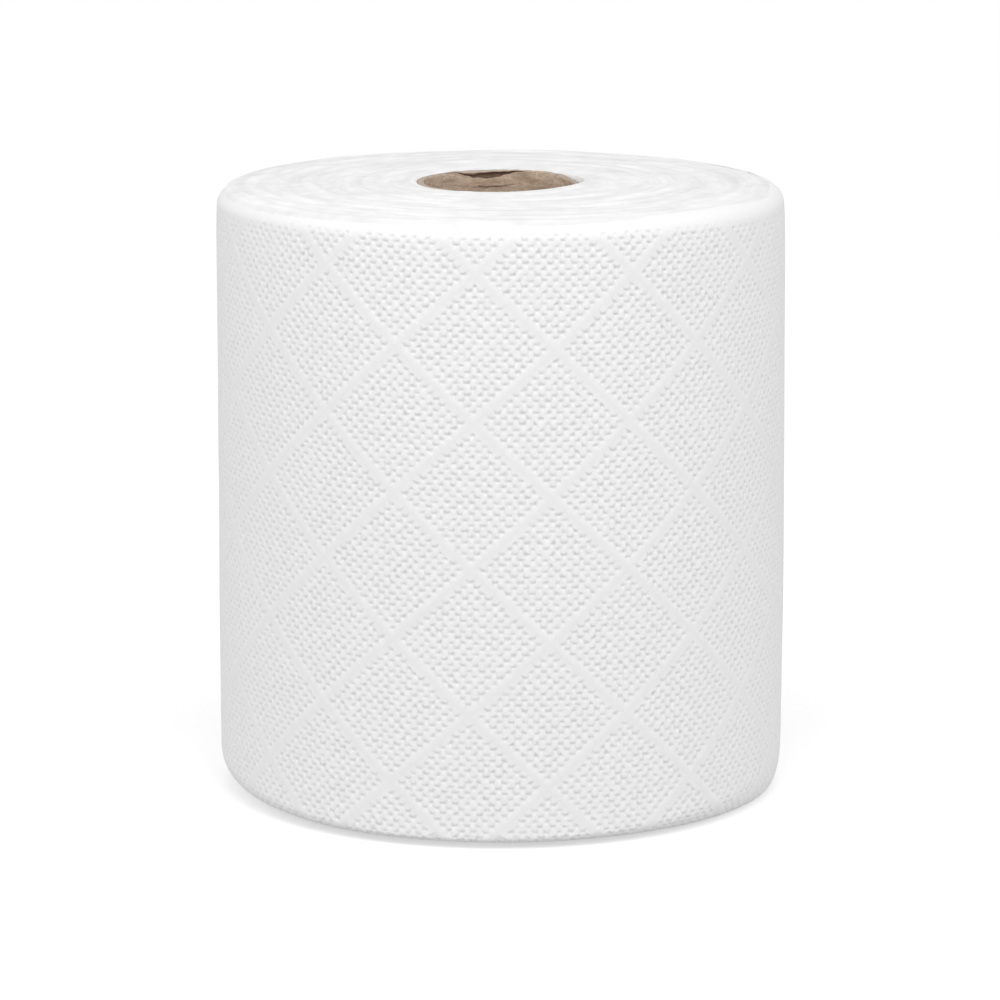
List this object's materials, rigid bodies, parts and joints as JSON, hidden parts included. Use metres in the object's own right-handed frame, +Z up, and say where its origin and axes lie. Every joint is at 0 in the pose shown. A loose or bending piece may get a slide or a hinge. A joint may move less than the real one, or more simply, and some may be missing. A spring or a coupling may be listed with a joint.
{
  "type": "paper towel roll",
  "caption": "Wide roll of dimple-embossed white paper towel wound on a brown paperboard core, standing on its end, with an open bore through the core.",
  "frame": {"origin": "centre of the lower end face, on the core's axis, where the roll stands", "axes": "+Z up the core's axis, -Y towards the front, +X to the right, where the tail of the outer turn is, 20 degrees round towards the back"},
  "size_m": [0.2, 0.1998, 0.216],
  "materials": {
    "towel_paper": "matt white embossed two-ply tissue",
    "core_board": "uncoated brown recycled paperboard, spiral wound"
  },
  "bodies": {
    "root": {"paper_roll": "towel_paper", "core_tube": "core_board"}
  },
  "joints": []
}
